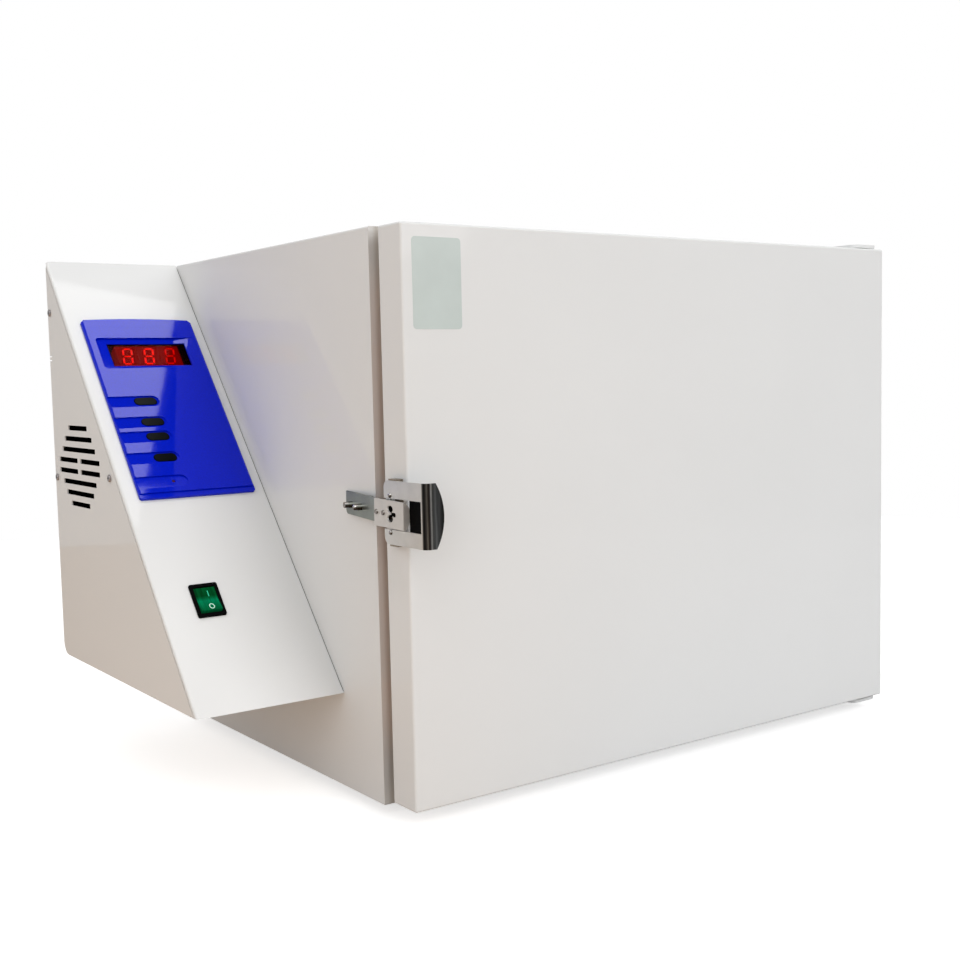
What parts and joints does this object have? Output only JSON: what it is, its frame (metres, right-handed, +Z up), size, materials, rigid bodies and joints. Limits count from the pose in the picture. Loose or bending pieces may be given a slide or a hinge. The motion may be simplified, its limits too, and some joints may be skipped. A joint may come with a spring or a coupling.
{
  "type": "dry heat sterilizer",
  "caption": "Bench-top dry heat sterilizer: insulated cabinet with a side-hung front door, spring lever latch, fan-swept chamber with shelves, and a sloping side control box.",
  "frame": {"origin": "on the bench, under the middle of the instrument's bounding box", "axes": "+X to the right of a person who faces the door, +Y to the back, +Z up"},
  "size_m": [0.6936, 0.47, 0.465],
  "materials": {
    "white_paint": "glossy powder coat",
    "frame_paint": "glossy paint, browned by heat",
    "stainless": "brushed",
    "fasteners": "polished",
    "heater_sheath": "heat-darkened",
    "mineral_wool": "fibrous, matte",
    "foot_rubber": "matte",
    "silicone": "satin",
    "label_film": "satin film",
    "bronze_bush": "machined",
    "yellow_zinc": "yellow zinc plating",
    "catch_steel": "satin",
    "polished_steel": "brushed and polished",
    "black_plastic": "satin",
    "blue_plastic": "fine-textured gloss",
    "red_window": "transparent, glossy",
    "circuit_board": "solder resist",
    "lamp_lens": "translucent",
    "key_black": "glossy",
    "green_rocker": "translucent, glossy",
    "motor_paint": "satin black",
    "cast_aluminium": "as stamped",
    "terminal_grey": "matte",
    "ceramic_body": "unglazed"
  },
  "bodies": {
    "cabinet": {"outer_shell": "white_paint", "base_pan": "white_paint", "front_frame": "frame_paint", "rear_panel": "white_paint", "rear_screws": "fasteners", "rubber_feet": "foot_rubber", "chamber_liner": "stainless", "chamber_insulation": "mineral_wool", "fan_motor": "motor_paint", "air_baffle": "stainless", "ring_heater": "heater_sheath", "heater_terminals": "ceramic_body", "temperature_probe": "stainless", "left_shelf_rack": "stainless", "right_shelf_rack": "stainless", "lower_shelf": "stainless", "middle_shelf": "stainless", "upper_shelf": "stainless", "hinge_brackets": "white_paint", "hinge_pins": "stainless", "catch_arm": "catch_steel", "catch_wedge": "black_plastic", "catch_plate": "polished_steel", "catch_screws": "fasteners", "catch_rivets": "stainless", "control_front": "white_paint", "control_side": "white_paint", "control_wrap": "white_paint", "case_screws": "fasteners", "panel_bezel": "blue_plastic", "display_window": "red_window", "control_board": "circuit_board", "digit_modules": "black_plastic", "status_led": "lamp_lens", "tact_switches": "black_plastic", "switch_housing": "black_plastic", "board_pillars": "black_plastic", "power_board": "circuit_board", "transformer": "motor_paint", "terminal_block": "terminal_grey", "cord_gland": "black_plastic"},
    "door": {"door_skin": "white_paint", "door_insulation": "mineral_wool", "door_panel": "stainless", "door_seal": "silicone", "blank_label": "label_film", "hinge_bushes": "bronze_bush", "latch_bracket": "yellow_zinc", "latch_pins": "stainless", "latch_screws": "fasteners"},
    "latch_lever": {"latch_handle": "polished_steel", "latch_cam": "black_plastic", "lever_rivets": "stainless"},
    "mains_rocker": {"power_rocker": "green_rocker"},
    "mode_key": {"mode_button": "key_black"},
    "raise_key": {"raise_button": "key_black"},
    "lower_key": {"lower_button": "key_black"},
    "start_key": {"start_button": "key_black"},
    "fan": {"fan_rotor": "cast_aluminium"}
  },
  "joints": [
    {"name": "door_hinge", "type": "hinge", "parent": "cabinet", "child": "door", "pos_m": [0.3355, -0.186, 0.2355], "axis": [0, 0, 1], "range_deg": [0, 130]},
    {"name": "lever_hinge", "type": "hinge", "parent": "door", "child": "latch_lever", "pos_m": [-0.22, -0.1895, 0.24505], "axis": [0, 0, -1], "range_deg": [0, 24], "stiffness_Nm_per_rad": 0.4, "springref_deg": -11.46},
    {"name": "rocker_hinge", "type": "hinge", "parent": "cabinet", "child": "mains_rocker", "pos_m": [-0.3047, -0.0292, 0.16632], "axis": [1, 0, 0], "range_deg": [0, 12]},
    {"name": "mode_key_press", "type": "slide", "parent": "cabinet", "child": "mode_key", "axis": [0, 0.7634, -0.6459], "range_m": [0, 0.001], "stiffness_N_per_m": 150, "springref_m": -0.001},
    {"name": "raise_key_press", "type": "slide", "parent": "cabinet", "child": "raise_key", "axis": [0, 0.7634, -0.6459], "range_m": [0, 0.001], "stiffness_N_per_m": 150, "springref_m": -0.001},
    {"name": "lower_key_press", "type": "slide", "parent": "cabinet", "child": "lower_key", "axis": [0, 0.7634, -0.6459], "range_m": [0, 0.001], "stiffness_N_per_m": 150, "springref_m": -0.001},
    {"name": "start_key_press", "type": "slide", "parent": "cabinet", "child": "start_key", "axis": [0, 0.7634, -0.6459], "range_m": [0, 0.001], "stiffness_N_per_m": 150, "springref_m": -0.001},
    {"name": "fan_spin", "type": "hinge", "parent": "cabinet", "child": "fan", "pos_m": [0.065, 0.1247, 0.2355], "axis": [0, 1, 0], "continuous": true}
  ]
}
